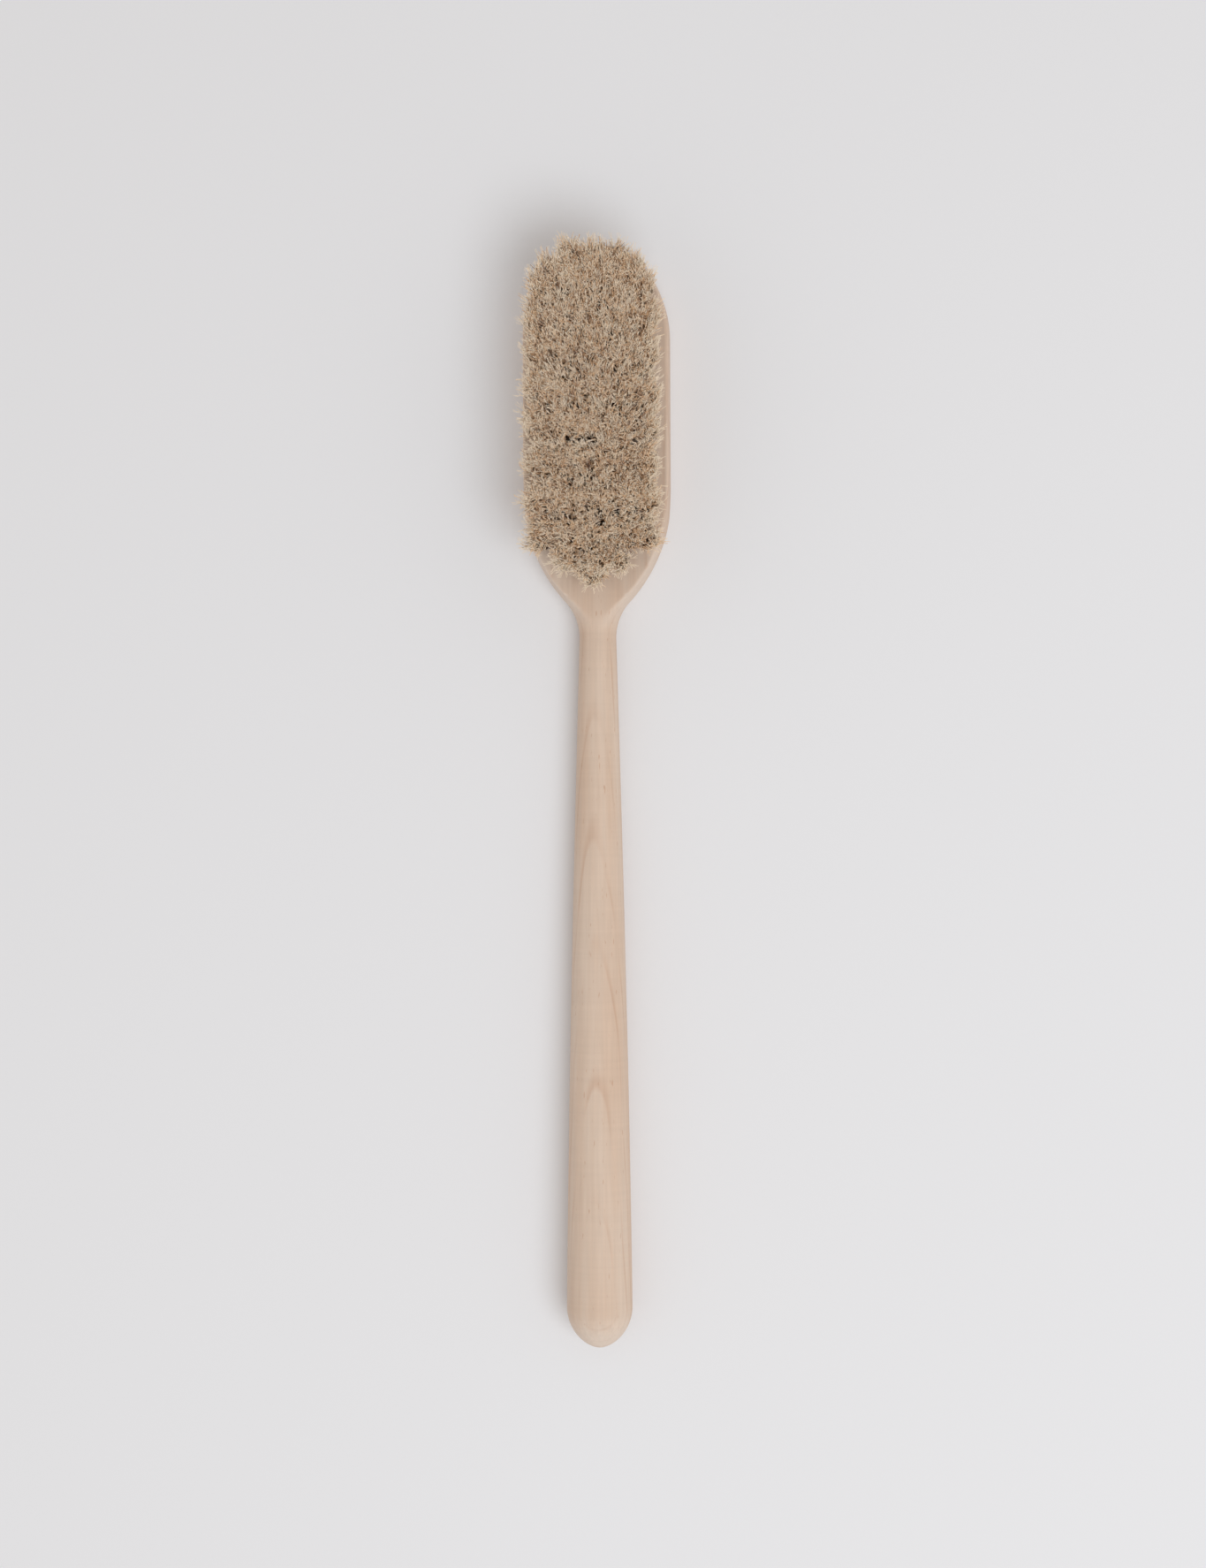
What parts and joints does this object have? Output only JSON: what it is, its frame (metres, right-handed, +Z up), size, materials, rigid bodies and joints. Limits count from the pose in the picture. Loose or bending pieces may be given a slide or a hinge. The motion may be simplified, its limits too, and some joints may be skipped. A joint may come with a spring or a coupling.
{
  "type": "clothes brush",
  "caption": "Long-handled wooden clothes brush with an oval paddle head, a round turned handle and staggered rows of drawn horsehair tufts.",
  "frame": {"origin": "middle of the overall length, on the centre line, on the table that the brush lies on", "axes": "+Y from the butt of the handle to the far end of the head, +Z up from the back of the head to the bristle tips, +X across the head to the right"},
  "size_m": [0.055, 0.415, 0.038],
  "materials": {
    "maple": "untreated pale maple, fine sanded, fine figure along the handle, matt",
    "maple_cover": "untreated pale maple board, fine sanded, matt",
    "brass_wire": "bare drawn brass wire",
    "horsehair": "natural horsehair, cream and brown hairs mixed, trimmed ends"
  },
  "bodies": {
    "root": {"brush_body": "maple", "back_cover": "maple_cover", "drawing_wire": "brass_wire", "tuft_row_01": "horsehair", "tuft_row_02": "horsehair", "tuft_row_03": "horsehair", "tuft_row_04": "horsehair", "tuft_row_05": "horsehair", "tuft_row_06": "horsehair", "tuft_row_07": "horsehair", "tuft_row_08": "horsehair", "tuft_row_09": "horsehair", "tuft_row_10": "horsehair", "tuft_row_11": "horsehair", "tuft_row_12": "horsehair", "tuft_row_13": "horsehair", "tuft_row_14": "horsehair", "tuft_row_15": "horsehair", "tuft_row_16": "horsehair", "tuft_row_17": "horsehair", "tuft_row_18": "horsehair", "tuft_row_19": "horsehair"}
  },
  "joints": []
}
